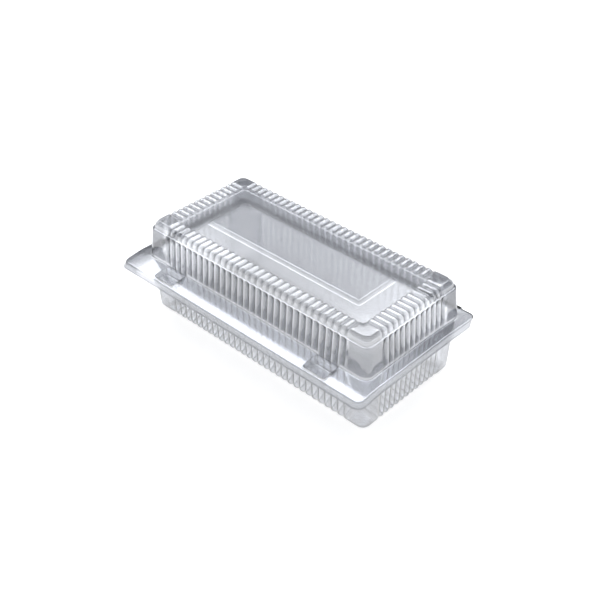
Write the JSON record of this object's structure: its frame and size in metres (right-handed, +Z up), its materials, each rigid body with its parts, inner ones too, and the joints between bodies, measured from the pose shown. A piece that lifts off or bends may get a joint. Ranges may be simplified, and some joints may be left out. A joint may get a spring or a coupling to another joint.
{
  "type": "hinged clamshell pack",
  "caption": "Clear thermoformed clamshell pack: a deep pleated tray and a shallow pleated lid on a film hinge, with a wide flange and button locks along the opening side.",
  "frame": {"origin": "on the surface the pack stands on, under the middle of its outline", "axes": "+Z up, X along the pack, -Y towards the opening side with the locks, +Y towards the hinge"},
  "size_m": [0.2544, 0.1367, 0.0839],
  "materials": {
    "clear_sheet": "clear high-gloss formed sheet"
  },
  "bodies": {
    "tray": {"base_tray": "clear_sheet"},
    "lid": {"lid": "clear_sheet"}
  },
  "joints": [
    {"name": "lid_hinge", "type": "hinge", "parent": "tray", "child": "lid", "pos_m": [0, 0.06765, 0.0506], "axis": [-1, 0, 0], "range_deg": [0, 180]}
  ]
}
